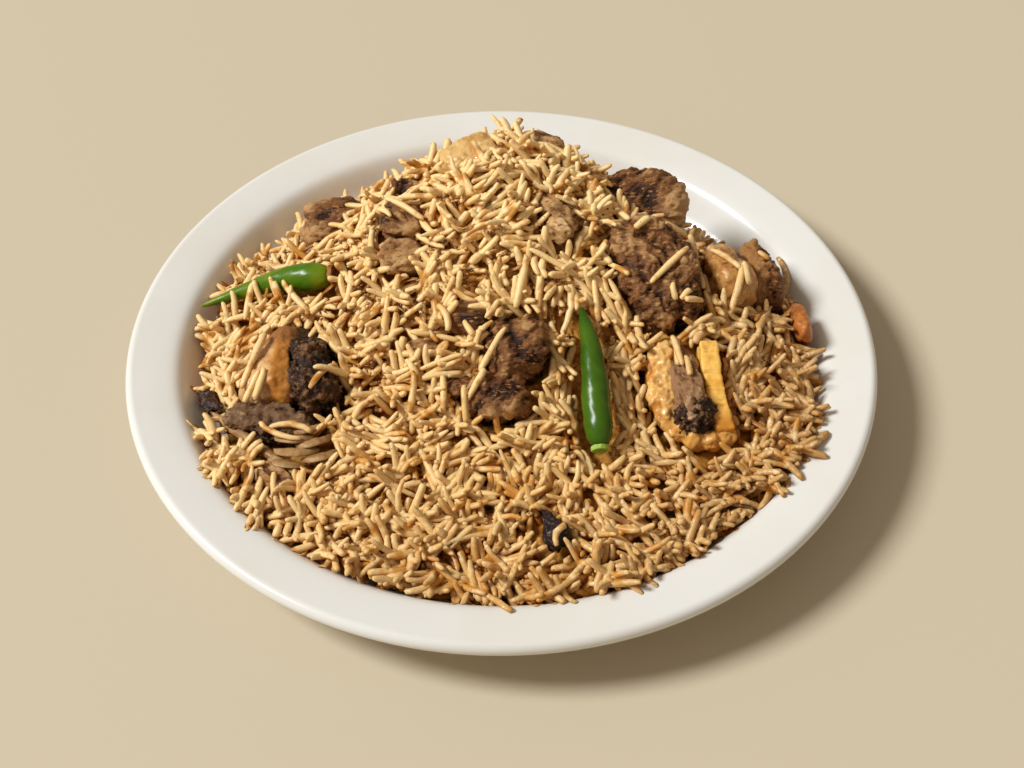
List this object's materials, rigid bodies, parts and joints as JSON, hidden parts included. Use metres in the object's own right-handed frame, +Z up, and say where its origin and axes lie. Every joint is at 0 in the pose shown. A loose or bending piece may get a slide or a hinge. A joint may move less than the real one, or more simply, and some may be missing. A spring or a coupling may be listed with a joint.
{
  "type": "plate of beef yakhni pilaf",
  "caption": "Round glazed dinner plate heaped with long-grain rice pilaf, stewed beef chunks, rib and marrow bone, whole green chilies and a cardamom pod.",
  "frame": {"origin": "middle of the foot ring, on the table, under the middle of the plate", "axes": "+Z up, +Y to the back of the plate where the heap is highest, +X to the right as served"},
  "size_m": [0.26, 0.26, 0.0691],
  "materials": {
    "glaze": "glossy off-white glaze",
    "rice": "moist cooked rice, stands in for food",
    "beef": "moist stewed beef, stands in for food",
    "pale_beef": "moist paler beef and tendon, stands in for food",
    "char": "dark browned meat, stands in for food",
    "fat": "translucent cooked fat and gristle, stands in for food",
    "bone": "yellow-orange bone and cartilage, stands in for food",
    "pod": "dark wrinkled spice pod, stands in for food",
    "chili": "shiny green chili skin, stands in for food"
  },
  "bodies": {
    "root": {"plate": "glaze", "chili_left": "chili", "chili_centre": "chili", "rib_bone": "bone", "marrow_beef": "pale_beef", "marrow_bone": "bone", "rib_char": "char", "rib_fat": "fat", "rib_beef": "beef", "beef_left_back": "beef", "beef_left_small": "beef", "beef_left_dark": "beef", "beef_left_pale": "pale_beef", "beef_back": "pale_beef", "gristle_back": "fat", "beef_back_middle": "pale_beef", "beef_right_back": "beef", "beef_folded": "beef", "beef_right": "beef", "fat_right": "fat", "beef_centre": "beef", "beef_shred": "beef", "beef_centre_left": "beef", "beef_buried": "pale_beef", "onion_left": "fat", "gristle_left": "pale_beef", "spice_left": "pod", "spice_left_low": "pod", "skin_right": "bone", "cardamom": "pod", "rice_heap": "rice"}
  },
  "joints": []
}
